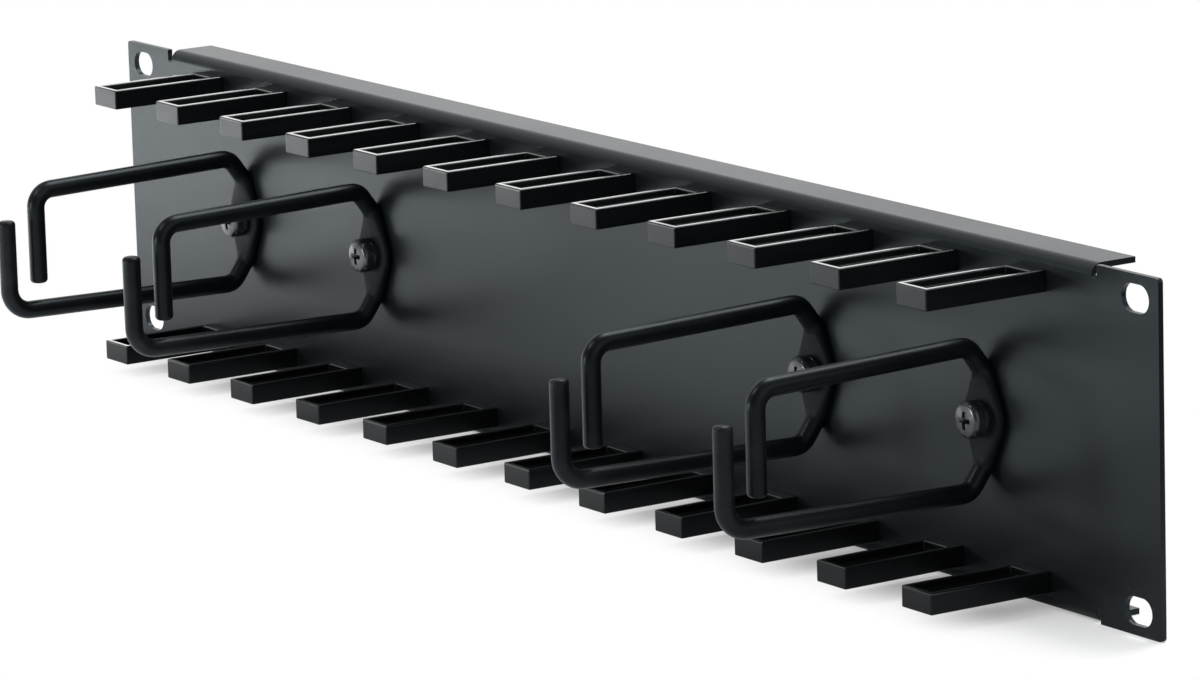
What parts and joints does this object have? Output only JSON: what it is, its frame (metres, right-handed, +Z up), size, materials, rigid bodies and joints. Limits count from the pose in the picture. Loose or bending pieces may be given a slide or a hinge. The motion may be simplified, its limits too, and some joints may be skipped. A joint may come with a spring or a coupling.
{
  "type": "horizontal cable manager",
  "caption": "Black steel rack panel for routing cables, with open rings of bent rod across its face and a row of moulded fingers along each edge.",
  "frame": {"origin": "centre of the panel's rear face, which is also the centre of its rack slots", "axes": "+X along the panel, +Y from the panel's rear face into the rack, +Z up; the rings stand out along -Y"},
  "size_m": [0.4826, 0.0954, 0.0882],
  "materials": {
    "powder_coat": "semi-gloss black powder coat with a fine orange peel",
    "ring_coat": "satin black coat on bent rod",
    "finger_plastic": "fine-grained satin black moulded plastic",
    "black_zinc": "black zinc plate, bright where the drive has rubbed it",
    "bright_zinc": "clear zinc plate"
  },
  "bodies": {
    "root": {"panel": "powder_coat", "top_finger_01": "finger_plastic", "top_finger_02": "finger_plastic", "top_finger_03": "finger_plastic", "top_finger_04": "finger_plastic", "top_finger_05": "finger_plastic", "top_finger_06": "finger_plastic", "top_finger_07": "finger_plastic", "top_finger_08": "finger_plastic", "top_finger_09": "finger_plastic", "top_finger_10": "finger_plastic", "top_finger_11": "finger_plastic", "top_finger_12": "finger_plastic", "bottom_finger_01": "finger_plastic", "bottom_finger_02": "finger_plastic", "bottom_finger_03": "finger_plastic", "bottom_finger_04": "finger_plastic", "bottom_finger_05": "finger_plastic", "bottom_finger_06": "finger_plastic", "bottom_finger_07": "finger_plastic", "bottom_finger_08": "finger_plastic", "bottom_finger_09": "finger_plastic", "bottom_finger_10": "finger_plastic", "bottom_finger_11": "finger_plastic", "bottom_finger_12": "finger_plastic", "cable_ring_1": "ring_coat", "cable_ring_2": "ring_coat", "cable_ring_3": "ring_coat", "cable_ring_4": "ring_coat", "ring_screws": "black_zinc", "ring_lock_washers": "black_zinc", "ring_flat_washers": "bright_zinc", "ring_nuts": "bright_zinc"}
  },
  "joints": []
}
